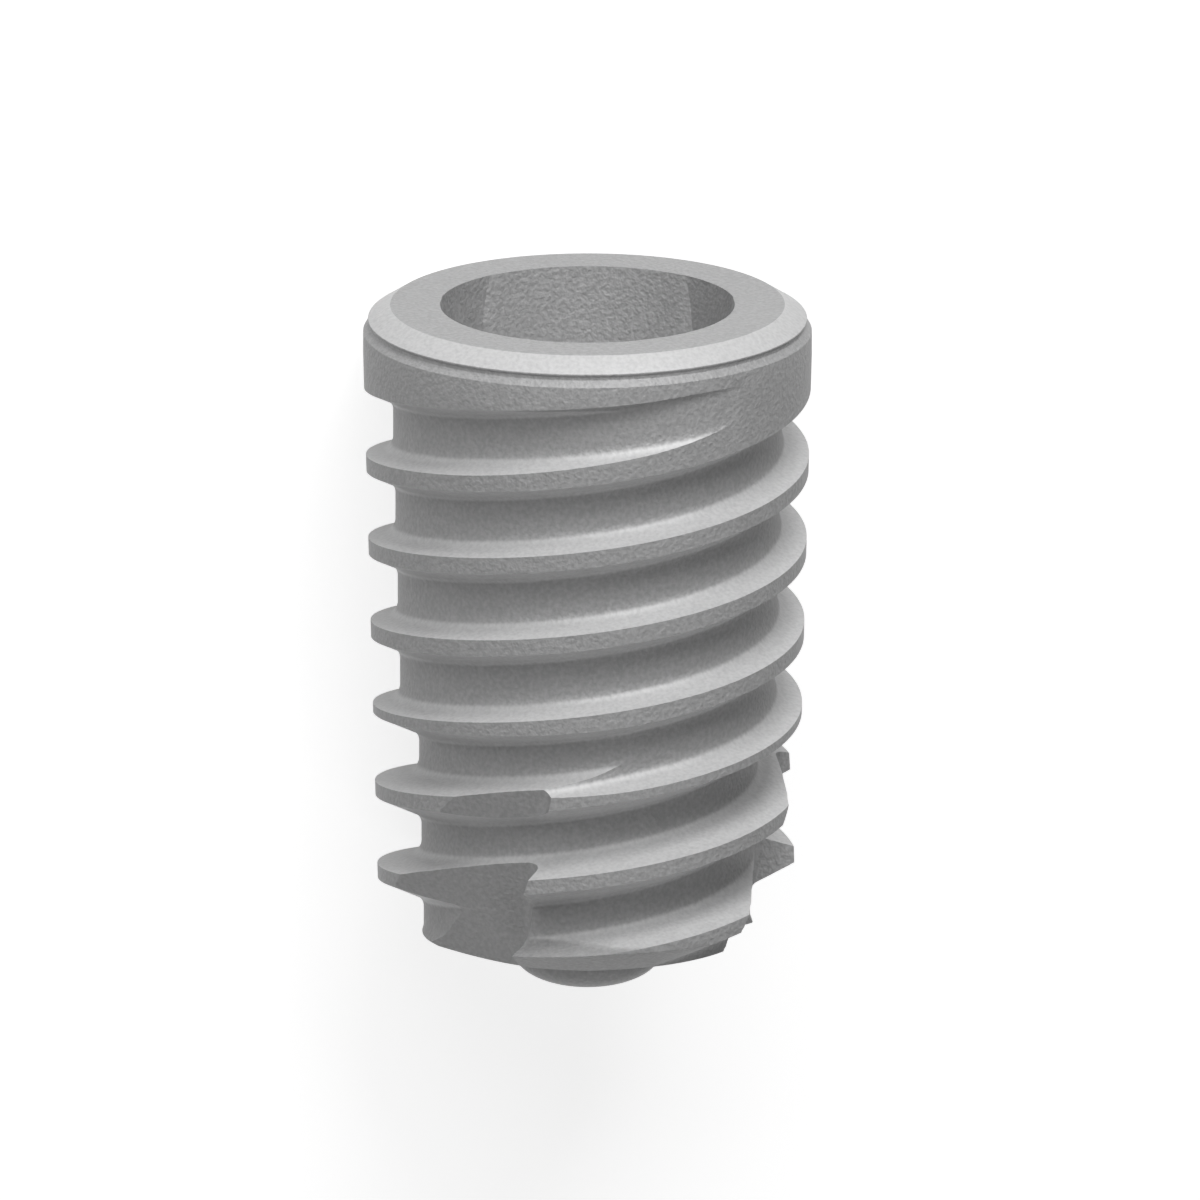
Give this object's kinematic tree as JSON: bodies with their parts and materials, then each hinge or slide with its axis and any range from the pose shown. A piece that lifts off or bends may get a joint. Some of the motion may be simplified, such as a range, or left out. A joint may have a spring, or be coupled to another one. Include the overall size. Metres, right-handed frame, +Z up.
{
  "type": "dental implant fixture",
  "caption": "Short wide screw-shaped dental implant: bevelled platform with a lobed socket, coarse tapered bone thread and cutting flutes at a rounded apex.",
  "frame": {"origin": "middle of the bounding box, at the bottom: the fixture lies on its thread crests on the ground", "axes": "+X towards the platform, along the fixture and 1.55 degrees up with its taper; +Y across; +Z up"},
  "size_m": [0.008, 0.0052, 0.0051],
  "materials": {
    "titanium": "matte"
  },
  "bodies": {
    "root": {"implant_body": "titanium"}
  },
  "joints": []
}
